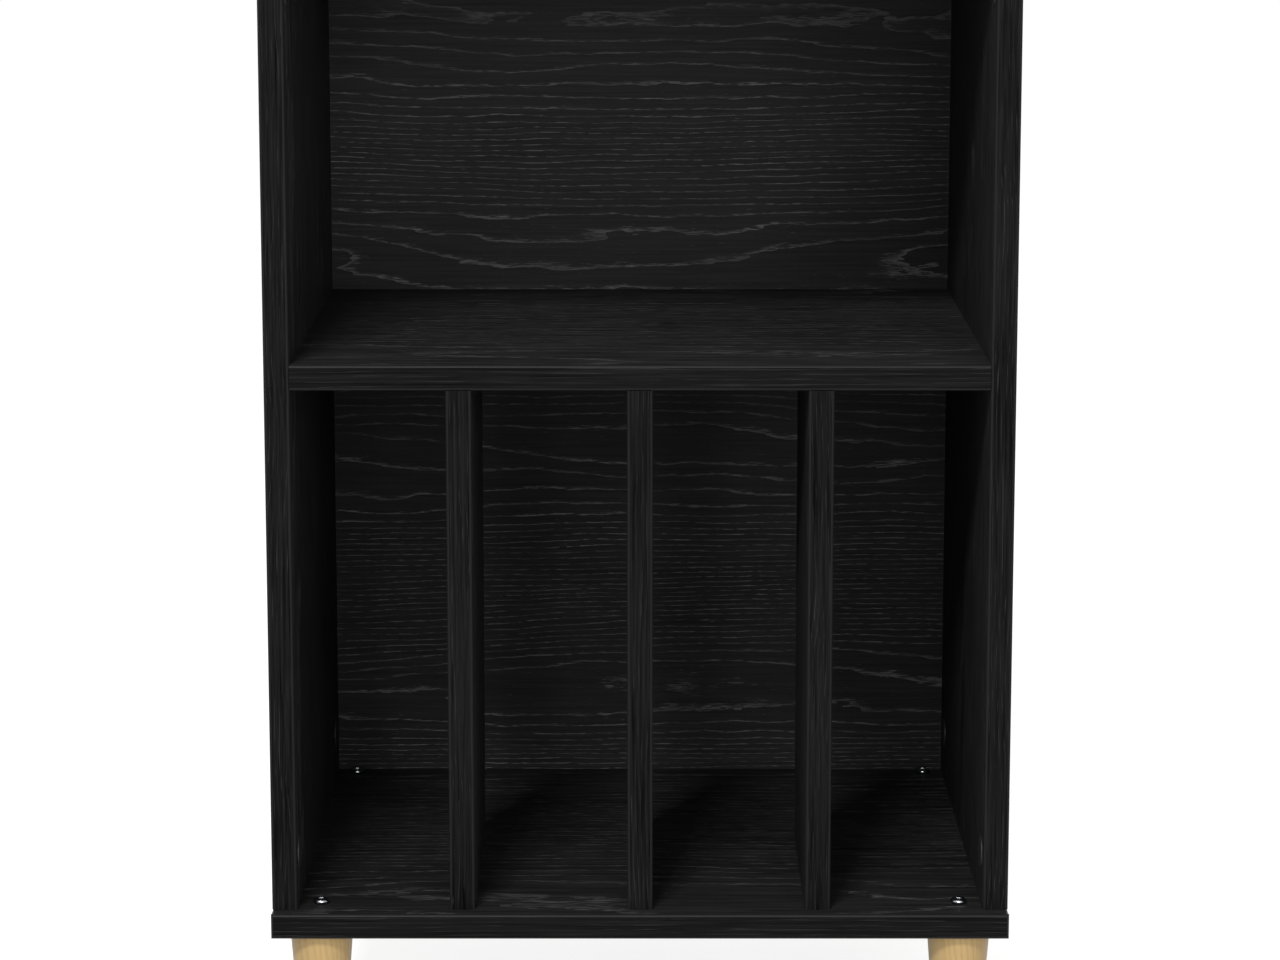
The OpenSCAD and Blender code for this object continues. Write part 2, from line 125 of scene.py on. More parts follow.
def grain_noise(tree, at, length, width, step, detail, roughness, distortion=0.0):
    """Noise on both sides of 0, in marks of that length and width. step is how far it moves on per board."""
    x = add(tree, "ShaderNodeMath", {0: at[0], 1: length}, operation="DIVIDE")
    y = add(tree, "ShaderNodeMath", {0: at[1], 1: width}, operation="DIVIDE")
    z = add(tree, "ShaderNodeMath", {0: at[2], 1: step}, operation="MULTIPLY")
    spot = add(tree, "ShaderNodeCombineXYZ", {0: x, 1: y, 2: z})
    noise = add(tree, "ShaderNodeTexNoise", {"Vector": spot, "Scale": 1.0, "Detail": detail,
                                             "Roughness": roughness, "Distortion": distortion})
    return add(tree, "ShaderNodeMath", {0: noise, 1: 0.5}, operation="SUBTRACT")


def ring_starts(tree, at, given):
    """1 where a ring starts, falling to 0 through its early wood."""
    wander = grain_noise(tree, at, length=given["Wander length"], width=75, step=1.0, detail=1.0,
                         roughness=0.4)
    wander = add(tree, "ShaderNodeMath", {0: wander, 1: given["Wander"]}, operation="MULTIPLY")
    # Rings that lie together share a ripple, and each shakes a little by itself
    ripple = grain_noise(tree, at, length=110, width=30, step=2.3, detail=2.0, roughness=0.5)
    shake = grain_noise(tree, at, length=38, width=9, step=1.0, detail=2.0, roughness=0.55)
    count = given["Ring count"]
    rings = add(tree, "ShaderNodeMath", {0: wander, 1: 4.0, 2: count}, operation="MULTIPLY_ADD")
    rings = add(tree, "ShaderNodeMath", {0: ripple, 1: given["Ripple"], 2: rings}, operation="MULTIPLY_ADD")
    rings = add(tree, "ShaderNodeMath", {0: shake, 1: 0.7, 2: rings}, operation="MULTIPLY_ADD")
    ring = add(tree, "ShaderNodeMath", {0: rings}, operation="FRACT")
    return add(tree, "ShaderNodeMapRange",
               {"Value": ring, "From Max": given["Early wood"], "To Min": 1.0, "To Max": 0.0},
               interpolation_type="SMOOTHSTEP")


def pore_rows(tree, at, given, early):
    """Pores: dashes along the grain, crowded into the early wood. Some stretches hold less colour."""
    dashes = grain_noise(tree, at, length=given["Pore length"], width=given["Pore width"], step=1.0,
                         detail=2.0, roughness=0.6, distortion=0.1)
    crowd = add(tree, "ShaderNodeMath", {0: early, 1: given["Crowding"]}, operation="MULTIPLY")
    edge = add(tree, "ShaderNodeMath", {0: crowd, 1: -0.25, 2: 0.17}, operation="MULTIPLY_ADD")
    full = add(tree, "ShaderNodeMath", {0: edge, 1: 0.15}, operation="ADD")
    pores = add(tree, "ShaderNodeMapRange", {"Value": dashes, "From Min": edge, "From Max": full},
                interpolation_type="SMOOTHSTEP")
    patch = grain_noise(tree, at, length=60, width=14, step=3.7, detail=2.0, roughness=0.6)
    patch = add(tree, "ShaderNodeMapRange",
                {"Value": patch, "From Min": -0.18, "From Max": 0.16, "To Min": 0.3, "To Max": 1.0})
    return add(tree, "ShaderNodeMath", {0: pores, 1: patch}, operation="MULTIPLY")


def oak_grain():
    """Node group: grain of ring-porous wood.

    Place is in millimetres: X along the grain, Y across it, and Z picks the board. A ring shows as a row of
    open pores, each a short dash along the grain, that thins out through the ring. Ring count says how many
    rings lie between here and the board's edge; where it changes slowly, the board is cut flat and the rows
    wander into long loops. Fibres are fine and long, and the tone drifts over a hand's length.
    """
    tree = new_tree("oak_grain", "ShaderNodeTree", [
        ("INPUT", "Vector", "Place", None),
        ("INPUT", "Float", "Ring count", 0.0),
        ("INPUT", "Float", "Wander", 1.5),
        ("INPUT", "Float", "Wander length", 230.0),
        ("INPUT", "Float", "Ripple", 0.0),
        ("INPUT", "Float", "Pore length", 12.0),
        ("INPUT", "Float", "Pore width", 1.1),
        ("INPUT", "Float", "Crowding", 0.6),
        ("INPUT", "Float", "Early wood", 0.36),
        ("INPUT", "Float", "Fibre width", 1.6),
        ("OUTPUT", "Float", "Pores", None),
        ("OUTPUT", "Float", "Rings", None),
        ("OUTPUT", "Float", "Fibre", None),
        ("OUTPUT", "Float", "Drift", None),
    ])
    given = add(tree, "NodeGroupInput").outputs
    at = add(tree, "ShaderNodeSeparateXYZ", {0: given["Place"]}).outputs
    early = ring_starts(tree, at, given)
    fibre = grain_noise(tree, at, length=70, width=given["Fibre width"], step=1.0, detail=3.0, roughness=0.6)
    drift = grain_noise(tree, at, length=170, width=110, step=1.7, detail=1.0, roughness=0.4)
    add(tree, "NodeGroupOutput", {"Pores": pore_rows(tree, at, given, early), "Rings": early,
                                  "Fibre": fibre, "Drift": drift})
    return tree


OAK = oak_grain()


def emptied(owner):
    """The node tree of a material or a world, with nothing in it."""
    owner.use_nodes = True
    owner.node_tree.nodes.clear()
    return owner.node_tree


def new_material(name):
    """A material and its empty tree."""
    material = bpy.data.materials.new(name)
    return material, emptied(material)


def surface(tree, inputs):
    """Ends a material in a Principled shader with these inputs."""
    shader = add(tree, "ShaderNodeBsdfPrincipled", inputs)
    add(tree, "ShaderNodeOutputMaterial", {"Surface": shader})


def in_millimetres(tree):
    """Object coordinates in millimetres."""
    where = add(tree, "ShaderNodeTexCoord").outputs["Object"]
    return add(tree, "ShaderNodeVectorMath", {0: where, "Scale": 1 / MM}, operation="SCALE")


def surface_noise(tree, size, detail):
    """Noise with marks that many millimetres across."""
    where = add(tree, "ShaderNodeTexCoord").outputs["Object"]
    return add(tree, "ShaderNodeTexNoise", {"Vector": where, "Scale": 1 / (size * MM), "Detail": detail})


def off_axis(tree, axis, degrees):
    """1 on faces that look further than that many degrees away from an axis, and 0 on the others."""
    normal = add(tree, "ShaderNodeNewGeometry").outputs["True Normal"]
    normal = add(tree, "ShaderNodeSeparateXYZ", {0: normal}).outputs[AXES[axis]]
    flat = add(tree, "ShaderNodeMath", {0: normal}, operation="ABSOLUTE")
    return add(tree, "ShaderNodeMath", {0: flat, 1: math.cos(math.radians(degrees))}, operation="LESS_THAN")


def by_distance(tree, across, stops):
    """A value that runs smoothly through (millimetres, value) stops, the last of them the farthest."""
    far, most = stops[-1][0], max(value for _, value in stops)
    spot = add(tree, "ShaderNodeMath", {0: across, 1: far}, operation="DIVIDE")
    curve = add(tree, "ShaderNodeFloatCurve", {"Value": spot})
    points = curve.mapping.curves[0].points
    for _ in stops[2:]:
        points.new(0.5, 0.5)
    for point, (at, value) in zip(points, stops):
        point.location = (at / far, value / most)
        point.handle_type = "AUTO_CLAMPED"
    curve.mapping.update()
    return add(tree, "ShaderNodeMath", {0: curve, 1: most}, operation="MULTIPLY")


def ring_count(tree, across, rings, ring_width, swing, pitch):
    """Rings up to a place: by (millimetres, rings) stops, or even, with a swing in their width."""
    if rings is not None:
        return by_distance(tree, across, rings)
    turn = add(tree, "ShaderNodeMath", {0: across, 1: 2 * math.pi / pitch}, operation="MULTIPLY")
    bulge = add(tree, "ShaderNodeMath", {0: turn}, operation="SINE")
    bulge = add(tree, "ShaderNodeMath", {0: bulge, 1: swing}, operation="MULTIPLY")
    return add(tree, "ShaderNodeMath", {0: across, 1: 1 / ring_width, 2: bulge}, operation="MULTIPLY_ADD")


def bare_core(tree, axis, colour, rough):
    """Pressed wood chips, 2.5 mm across, where a face isn't one of the two laminated ones."""
    bare = off_axis(tree, axis, 60)
    where = add(tree, "ShaderNodeTexCoord").outputs["Object"]
    chips = add(tree, "ShaderNodeTexVoronoi", {"Vector": where, "Scale": 1 / (2.5 * MM)})
    shade = add(tree, "ShaderNodeSeparateColor", {0: chips.outputs["Color"]}).outputs[0]
    dark, pale = linear("#7a6243"), linear("#b99a6c")
    chip = add(tree, "ShaderNodeMix", {0: shade, 6: dark, 7: pale}, data_type="RGBA").outputs[2]
    colour = add(tree, "ShaderNodeMix", {0: bare, 6: colour, 7: chip}, data_type="RGBA").outputs[2]
    rough = add(tree, "ShaderNodeMath", {0: bare, 1: 0.35, 2: rough}, operation="MULTIPLY_ADD")
    return colour, rough


def trimmed_band_and_painted_light(tree, axis, colour, rough, gloss, arris):
    """Smoother where the trimmer rounded and flushed a band, and painted paler there: painted light, as the
    lamps reach these faces only at a graze. arris is the gloss that it adds.
    """
    cut = off_axis(tree, axis, 10)
    # Painted light: the faces off the band's own face are painted paler, since the lamps reach them only at a
    # graze
    pale = linear("#1c1c1c")
    colour = add(tree, "ShaderNodeMix", {0: cut, 6: colour, 7: pale}, data_type="RGBA").outputs[2]
    rough = add(tree, "ShaderNodeMath", {0: cut, 1: -0.1, 2: rough}, operation="MULTIPLY_ADD")
    gloss = add(tree, "ShaderNodeMath", {0: cut, 1: arris, 2: gloss}, operation="MULTIPLY_ADD")
    return colour, rough, gloss


def black_oak(name, along, across, board, ground, pore, rings=None, ring_width=8.0, swing=3.0, pitch=235.0,
              wander=1.2, wander_length=230.0, ripple=0.0, pore_length=12.0, pore_width=0.7, crowding=1.0,
              early_wood=0.36, shift=(0, 0), fibre_depth=0.7, fibre_width=1.6, ring_tone=0.12, drift=0.6,
              pore_shade=None, core=None, gloss=0.03, trimmed=None, arris=0.0):
    """Black oak print under melamine: near black, with its pores printed greyer, satin, faintly embossed.

    along and across name the axes that the grain follows and crosses, and board is the board's own number.
    Lengths and widths are in millimetres. Real pores are finer than the render can show, so these are as
    coarse as they need to be. ink holds (millimetres, share) stops that fade the pores where shade falls on
    the board: painted shade. core names the axis through a board's thickness, and faces off it show the bare
    board. trimmed names the axis that an edge band faces; off it the trimmer has cut the band, and the band
    is painted paler there as painted light, for faces that the lamps reach only at a graze.
    """
    material, tree = new_material(name)
    where = add(tree, "ShaderNodeSeparateXYZ", {0: in_millimetres(tree)}).outputs
    place = add(tree, "ShaderNodeCombineXYZ", {0: where[AXES[along]], 1: where[AXES[across]], 2: board})
    place = add(tree, "ShaderNodeVectorMath", {0: place, 1: (*shift, 0)}, operation="ADD")
    height = add(tree, "ShaderNodeSeparateXYZ", {0: place}).outputs[1]
    grain = add(tree, "ShaderNodeGroup", {
        "Place": place, "Ring count": ring_count(tree, height, rings, ring_width, swing, pitch),
        "Wander": wander, "Wander length": wander_length, "Ripple": ripple,
        "Pore length": pore_length, "Pore width": pore_width, "Crowding": crowding,
        "Early wood": early_wood, "Fibre width": fibre_width,
    }, node_tree=OAK).outputs
    pores, fibre = grain["Pores"], grain["Fibre"]

    # Fibres, drift and rings make the ground a little lighter and darker
    tone = add(tree, "ShaderNodeMath", {0: fibre, 1: fibre_depth * 2, 2: 1.0}, operation="MULTIPLY_ADD")
    tone = add(tree, "ShaderNodeMath", {0: grain["Drift"], 1: drift, 2: tone}, operation="MULTIPLY_ADD")
    tone = add(tree, "ShaderNodeMath", {0: grain["Rings"], 1: ring_tone, 2: tone}, operation="MULTIPLY_ADD")
    dark = add(tree, "ShaderNodeVectorMath", {0: linear(ground)[:3], "Scale": tone}, operation="SCALE")
    shaded_pores = pores
    # Painted shade: where stops are given, the pores fade where shade falls on the board
    if pore_shade is not None:
        share = by_distance(tree, height, pore_shade)
        shaded_pores = add(tree, "ShaderNodeMath", {0: pores, 1: share}, operation="MULTIPLY")
    colour = add(tree, "ShaderNodeMix", {0: shaded_pores, 6: dark, 7: linear(pore)}, data_type="RGBA").outputs[2]
    rough = add(tree, "ShaderNodeMath", {0: pores, 1: 0.12, 2: 0.5}, operation="MULTIPLY_ADD")
    depth = add(tree, "ShaderNodeMath", {0: fibre, 1: 0.25, 2: pores}, operation="MULTIPLY_ADD")
    relief = add(tree, "ShaderNodeBump", {"Strength": 0.35, "Distance": 0.06 * MM, "Height": depth},
                 invert=True)
    if core is not None:
        colour, rough = bare_core(tree, core, colour, rough)
    if trimmed is not None:
        colour, rough, gloss = trimmed_band_and_painted_light(tree, trimmed, colour, rough, gloss, arris)
    surface(tree, {"Base Color": colour, "Roughness": rough, "Specular IOR Level": gloss, "Normal": relief})
    return material


# Boards: broad rings and wide, deep fibres. Bands: narrow, straight rings on a darker ground, that darkness
# painted shade to offset the lamps that light the band faces head-on
LAMINATE = {"ground": "#242424", "pore": "#4c4c4c", "ring_width": 12.0, "swing": 2.4, "pore_width": 1.3,
            "fibre_depth": 1.2, "fibre_width": 4.0}
BAND = {"ground": "#101010", "pore": "#292929", "ring_width": 3.0, "swing": 0.0, "wander": 0.9,
        "pore_length": 40.0, "pore_width": 0.8, "crowding": 0.9, "fibre_depth": 1.5, "gloss": 0.02}
UPRIGHT_BAND = BAND | {"wander": 1.6, "wander_length": 120.0, "fibre_depth": 2.0, "drift": 1.6}

# Rings of the back's print, counted up from the floor: (millimetres, rings)
BACK_RINGS = [(0, 0), (116, 25), (153, 34), (187, 37), (211, 40), (293, 60), (304, 61.7), (336, 64),
              (376, 69), (440, 79), (484, 79.3), (505, 80.8), (522, 83), (532, 85), (600, 100), (622, 103.3),
              (643, 105.1), (654, 105.45), (665, 105.1), (742, 97)]
# Painted shade: its pores are faded under the shelf, just above it and under the top, where shade falls:
# (millimetres, share of their colour)
BACK_PORE_SHADE = [(0, 1), (340, 1), (376, 0.65), (440, 0.5), (470, 0.85), (530, 0.85), (560, 1), (590, 1),
            (630, 0.6), (742, 0.55)]

top_oak = black_oak("top_black_oak_laminate", "x", "y", 1.3, **LAMINATE, core="z")
base_oak = black_oak("base_black_oak_laminate", "x", "y", 2.6, ground="#202020", pore="#4c4c4c",
                     ring_width=11.0, swing=5.0, pitch=420.0, pore_width=1.2, shift=(40, -25),
                     fibre_depth=1.2, fibre_width=3.5, core="z")
shelf_oak = black_oak("shelf_black_oak_laminate", "x", "y", 3.9, ground="#242424", pore="#4c4c4c",
                      ring_width=14.0, swing=4.0, pitch=420.0, pore_width=2.0, shift=(0, -22),
                      fibre_depth=1.4, fibre_width=5.0, core="z")
left_oak = black_oak("left_side_black_oak_laminate", "z", "y", 5.2, **LAMINATE, shift=(0, 30), core="x")
right_oak = black_oak("right_side_black_oak_laminate", "z", "y", 6.5, **LAMINATE, shift=(0, 140), core="x")
divider_oak = black_oak("divider_black_oak_laminate", "z", "y", 7.8, **LAMINATE, shift=(0, 90), core="x")
back_oak = black_oak("back_black_oak_print", "x", "z", 2.7, ground="#212121", pore="#5c5c5c",
                     rings=BACK_RINGS, wander=2.0, wander_length=480.0, ripple=1.2, pore_length=8.0,
                     pore_width=0.6, crowding=1.15, early_wood=0.29, ring_tone=0.3, pore_shade=BACK_PORE_SHADE, core="y")
band_wide = black_oak("edge_band_along_x", "x", "z", 10.4, **BAND, trimmed="y", arris=0.05)
band_deep = black_oak("edge_band_along_y", "y", "z", 11.7, **BAND, trimmed="x", arris=0.05)
band_tall = black_oak("edge_band_along_z", "z", "x", 14.1, **UPRIGHT_BAND, trimmed="y", arris=0.02)


def turned_pine():
    """Pine, turned and lacquered: its rings lean off the leg's axis, so the turning cuts them in loops."""
    material, tree = new_material("turned_pine")
    ring_width, lean = 3.0, (0.83, 0.53, 0.11)
    where = in_millimetres(tree)
    # The grain climbs the leg, and its noise is stretched along it
    tall = add(tree, "ShaderNodeVectorMath", {0: where, 1: (1 / 18, 1 / 18, 1 / 90)}, operation="MULTIPLY")
    bend = add(tree, "ShaderNodeTexNoise", {"Vector": tall, "Scale": 1.0, "Detail": 2.0, "Roughness": 0.5})
    across = add(tree, "ShaderNodeVectorMath", {0: where, 1: lean}, operation="DOT_PRODUCT").outputs[1]
    rings = add(tree, "ShaderNodeMath", {0: bend, 1: 9.0, 2: across}, operation="MULTIPLY_ADD")
    rings = add(tree, "ShaderNodeMath", {0: rings, 1: ring_width}, operation="DIVIDE")
    ring = add(tree, "ShaderNodeMath", {0: rings}, operation="FRACT")
    late = add(tree, "ShaderNodeMapRange", {"Value": ring, "From Min": 0.35, "From Max": 0.95},
               interpolation_type="SMOOTHSTEP")
    fine = add(tree, "ShaderNodeVectorMath", {0: where, 1: (1.6, 1.6, 1 / 14)}, operation="MULTIPLY")
    fibre = add(tree, "ShaderNodeTexNoise", {"Vector": fine, "Scale": 1.0, "Detail": 3.0, "Roughness": 0.6})
    mixed = add(tree, "ShaderNodeMath", {0: fibre, 1: 0.6, 2: -0.15}, operation="MULTIPLY_ADD")
    mixed = add(tree, "ShaderNodeMath", {0: late, 1: 0.32, 2: mixed}, operation="MULTIPLY_ADD",
                use_clamp=True)
    light, deep = linear("#ad9364"), linear("#927549")
    colour = add(tree, "ShaderNodeMix", {0: mixed, 6: light, 7: deep}, data_type="RGBA").outputs[2]
    rough = add(tree, "ShaderNodeMath", {0: fibre, 1: 0.18, 2: 0.34}, operation="MULTIPLY_ADD")
    relief = add(tree, "ShaderNodeBump", {"Strength": 0.2, "Distance": 0.05 * MM, "Height": fibre})
    surface(tree, {"Base Color": colour, "Roughness": rough, "Specular IOR Level": 0.35, "Normal": relief})
    return material


def beech():
    """Beech dowel rod: pale, with small dark flecks, unfinished."""
    material, tree = new_material("beech_rod")
    flecks = surface_noise(tree, 1.2, 3.0)
    marks = add(tree, "ShaderNodeMapRange", {"Value": flecks, "From Min": 0.45, "From Max": 0.75})
    pale, dark = linear("#d3ab7c"), linear("#a97c50")
    colour = add(tree, "ShaderNodeMix", {0: marks, 6: pale, 7: dark}, data_type="RGBA").outputs[2]
    relief = add(tree, "ShaderNodeBump", {"Strength": 0.3, "Distance": 0.1 * MM, "Height": flecks})
    surface(tree, {"Base Color": colour, "Roughness": 0.7, "Normal": relief})
    return material


def metal(name, shade, roughness, grit, depth):
    """A metal whose surface varies over grit millimetres, depth millimetres deep: cast, drawn or plated."""
    material, tree = new_material(name)
    skin = surface_noise(tree, grit, 4.0)
    rough = add(tree, "ShaderNodeMapRange",
                {"Value": skin, "To Min": roughness * 0.75, "To Max": roughness * 1.3})
    darker = [0.82 * c for c in linear(shade)[:3]] + [1.0]
    colour = add(tree, "ShaderNodeMix", {0: skin, 6: linear(shade), 7: darker}, data_type="RGBA").outputs[2]
    relief = add(tree, "ShaderNodeBump", {"Strength": 0.4, "Distance": depth * MM, "Height": skin})
    surface(tree, {"Base Color": colour, "Metallic": 1.0, "Roughness": rough, "Normal": relief})
    return material


def moulded_plastic():
    """Black polypropylene from a spark-eroded mould: even and satin, with a fine grain of 0.4 mm."""
    material, tree = new_material("moulded_black_plastic")
    grit = surface_noise(tree, 0.4, 3.0)
    dark, pale = linear("#1a1a1a"), linear("#262626")
    colour = add(tree, "ShaderNodeMix", {0: grit, 6: dark, 7: pale}, data_type="RGBA").outputs[2]
    rough = add(tree, "ShaderNodeMapRange", {"Value": grit, "To Min": 0.38, "To Max": 0.56})
    relief = add(tree, "ShaderNodeBump", {"Strength": 0.3, "Distance": 0.05 * MM, "Height": grit})
    surface(tree, {"Base Color": colour, "Roughness": rough, "Specular IOR Level": 0.35, "Normal": relief})
    return material


pine = turned_pine()
beech_rod = beech()
# Zinc with its cast skin is dull, zinc plate on drawn steel brighter, and chrome plate almost a mirror
zinc = metal("die_cast_zinc", "#a6a8aa", roughness=0.42, grit=0.9, depth=0.05)
steel = metal("zinc_plated_steel", "#c4c6c8", roughness=0.26, grit=0.6, depth=0.02)
chrome = metal("bright_chrome_plate", "#a0a4a8", roughness=0.22, grit=1.5, depth=0.01)
plastic = moulded_plastic()


# Fittings, turned by Geometry Nodes and set out on their places

def turned_surface(tree, given):
    """A grid bent round the axis, its rows along the profile and its columns round it, less the recess."""
    profile = add(tree, "GeometryNodeObjectInfo", {"Object": given["Profile"]}).outputs["Geometry"]
    count = add(tree, "GeometryNodeAttributeDomainSize", {"Geometry": profile}).outputs["Point Count"]
    columns = add(tree, "ShaderNodeMath", {0: given["Segments"], 1: 1.0}, operation="ADD")
    sheet = add(tree, "GeometryNodeMeshGrid",
                {"Size X": 1.0, "Size Y": 1.0, "Vertices X": columns, "Vertices Y": count})
    at = add(tree, "ShaderNodeSeparateXYZ", {0: add(tree, "GeometryNodeInputPosition")}).outputs
    turn = add(tree, "ShaderNodeMath", {0: at[0], 1: 2 * math.pi}, operation="MULTIPLY")
    last = add(tree, "ShaderNodeMath", {0: count, 1: 1.0}, operation="SUBTRACT")
    row = add(tree, "ShaderNodeMath", {0: at[1], 1: 0.5}, operation="ADD")
    row = add(tree, "ShaderNodeMath", {0: row, 1: last}, operation="MULTIPLY")
    row = add(tree, "FunctionNodeFloatToInt", {0: row}, rounding_mode="ROUND")
    point = add(tree, "GeometryNodeSampleIndex",
                {"Geometry": profile, "Value": add(tree, "GeometryNodeInputPosition"), "Index": row},
                data_type="FLOAT_VECTOR")
    point = add(tree, "ShaderNodeSeparateXYZ", {0: point}).outputs
    east = add(tree, "ShaderNodeMath", {0: turn}, operation="COSINE")
    east = add(tree, "ShaderNodeMath", {0: east, 1: point[0]}, operation="MULTIPLY")
    north = add(tree, "ShaderNodeMath", {0: turn}, operation="SINE")
    north = add(tree, "ShaderNodeMath", {0: north, 1: point[0]}, operation="MULTIPLY")
    spot = add(tree, "ShaderNodeCombineXYZ", {0: east, 1: north, 2: point[2]})
    turned = add(tree, "GeometryNodeSetPosition", {"Geometry": sheet, "Position": spot})
    turned = add(tree, "GeometryNodeMergeByDistance", {"Geometry": turned, "Distance": 0.002 * MM})
    recess = add(tree, "GeometryNodeObjectInfo", {"Object": given["Recess"]}).outputs["Geometry"]
    return add(tree, "GeometryNodeMeshBoolean", {"Mesh 1": turned, "Mesh 2": recess},
               operation="DIFFERENCE", solver="EXACT")


def wound_thread(tree, given):
    """A thread: a ridge swept along a helix."""
    length, depth = given["Thread length"], given["Thread depth"]
    winds = add(tree, "ShaderNodeMath", {0: length, 1: given["Thread pitch"]}, operation="DIVIDE")
    root = add(tree, "ShaderNodeMath", {0: given["Thread radius"], 1: depth}, operation="SUBTRACT")
    helix = add(tree, "GeometryNodeCurveSpiral",
                {"Resolution": 16, "Rotations": winds, "Start Radius": root, "End Radius": root,
                 "Height": length})
    helix = add(tree, "GeometryNodeSetCurveNormal", {"Curve": helix}, mode="Z_UP")
    ridge = add(tree, "GeometryNodeCurvePrimitiveCircle", {"Resolution": 4, "Radius": depth})
    thread = add(tree, "GeometryNodeCurveToMesh",
                 {"Curve": helix, "Profile Curve": ridge, "Fill Caps": True})
    lift = add(tree, "ShaderNodeCombineXYZ", {2: given["Thread start"]})
    return add(tree, "GeometryNodeTransform", {"Geometry": thread, "Translation": lift})


def smooth_between_creases(tree, mesh):
    """Smooth shading, broken where two faces meet at more than 32 degrees."""
    angle = add(tree, "GeometryNodeInputMeshEdgeAngle").outputs[0]
    crease = add(tree, "FunctionNodeCompare", {"A": angle, "B": math.radians(32)}, operation="GREATER_THAN")
    smooth = add(tree, "GeometryNodeSetShadeSmooth", {0: mesh, "Shade Smooth": True}, domain="FACE")
    return add(tree, "GeometryNodeSetShadeSmooth",
               {0: smooth, "Selection": crease, "Shade Smooth": False}, domain="EDGE")


def fitting_tree():
    """Geometry Nodes: a turned fitting, with its recess and its thread, on every place."""
    tree = new_tree("turned_fitting", "GeometryNodeTree", [
        ("INPUT", "Geometry", "Places", None),
        ("INPUT", "Object", "Profile", None),
        ("INPUT", "Object", "Recess", None),
        ("INPUT", "Int", "Segments", 48),
        ("INPUT", "Bool", "Threaded", False),
        ("INPUT", "Float", "Thread radius", 0.003),
        ("INPUT", "Float", "Thread depth", 0.0006),
        ("INPUT", "Float", "Thread pitch", 0.001),
        ("INPUT", "Float", "Thread start", 0.0),
        ("INPUT", "Float", "Thread length", 0.01),
        ("INPUT", "Material", "Finish", None),
        ("OUTPUT", "Geometry", "Fittings", None),
    ])
    given = add(tree, "NodeGroupInput").outputs
    turned = turned_surface(tree, given)
    both = add(tree, "GeometryNodeJoinGeometry", {0: wound_thread(tree, given)})
    tree.links.new(turned.outputs[0], both.inputs[0])
    whole = add(tree, "GeometryNodeSwitch",
                {"Switch": given["Threaded"], "False": turned, "True": both}, input_type="GEOMETRY")
    whole = smooth_between_creases(tree, whole)
    facing = add(tree, "GeometryNodeInputNamedAttribute", {"Name": "facing"}, data_type="FLOAT_VECTOR")
    stance = add(tree, "FunctionNodeAlignRotationToVector", {"Vector": facing}, axis="Z")
    out = add(tree, "GeometryNodeInstanceOnPoints",
              {"Points": given["Places"], "Instance": whole, "Rotation": stance})
    out = add(tree, "GeometryNodeRealizeInstances", {"Geometry": out})
    out = add(tree, "GeometryNodeSetMaterial", {"Geometry": out, "Material": given["Finish"]})
    add(tree, "NodeGroupOutput", {"Fittings": out})
    return tree


FITTING = fitting_tree()


def new_object(name, verts, edges=(), faces=()):
    """A mesh object from points in millimetres."""
    mesh = bpy.data.meshes.new(name)
    mesh.from_pydata([[v * MM for v in p] for p in verts], edges, faces)
    made = bpy.data.objects.new(name, mesh)
    bpy.context.scene.collection.objects.link(made)
    return made


def prism(name, outline, low, high, mouth=None):
    """A closed prism on an outline of (x, y), from height low to high, where mouth may widen it."""
    n = len(outline)
    verts = [(x, y, z) for z, ring in ((low, outline), (high, mouth or outline)) for x, y in ring]
    sides = [(i, (i + 1) % n, (i + 1) % n + n, i + n) for i in range(n)]
    return new_object(name, verts, faces=[tuple(range(n))[::-1], tuple(range(n, 2 * n)), *sides])


def hexagon(flats, turned=0.0):
    """Outline of a hexagon of that size across its flats, turned by that many degrees."""
    r = flats / 2 / math.cos(math.radians(30))
    angles = [math.radians(60 * i + turned) for i in range(6)]
    return [(r * math.cos(angle), r * math.sin(angle)) for angle in angles]


def cross(span, width):
    """Outline of a cross recess."""
    a, b = span / 2, width / 2
    return [(a, -b), (a, b), (b, b), (b, a), (-b, a), (-b, b),
            (-a, b), (-a, -b), (-b, -b), (-b, -a), (b, -a), (b, -b)]


def arc(cx, cz, r, start, end, steps):
    """Points on an arc of a profile, with angles in degrees from the +r axis."""
    angles = [math.radians(start + (end - start) * i / steps) for i in range(steps + 1)]
    return [(cx + r * math.cos(angle), cz + r * math.sin(angle)) for angle in angles]


def straight(start, end, steps):
    """Points on a straight stretch of a profile, after its start."""
    return [tuple(a + i * (b - a) / steps for a, b in zip(start, end)) for i in range(1, steps + 1)]


def outwards(mesh):
    """Points a mesh's faces outwards, its doubles merged."""
    work = bmesh.new()
    work.from_mesh(mesh)
    bmesh.ops.remove_doubles(work, verts=work.verts, dist=0.001 * MM)
    bmesh.ops.recalc_face_normals(work, faces=work.faces)
    work.to_mesh(mesh)
    work.free()


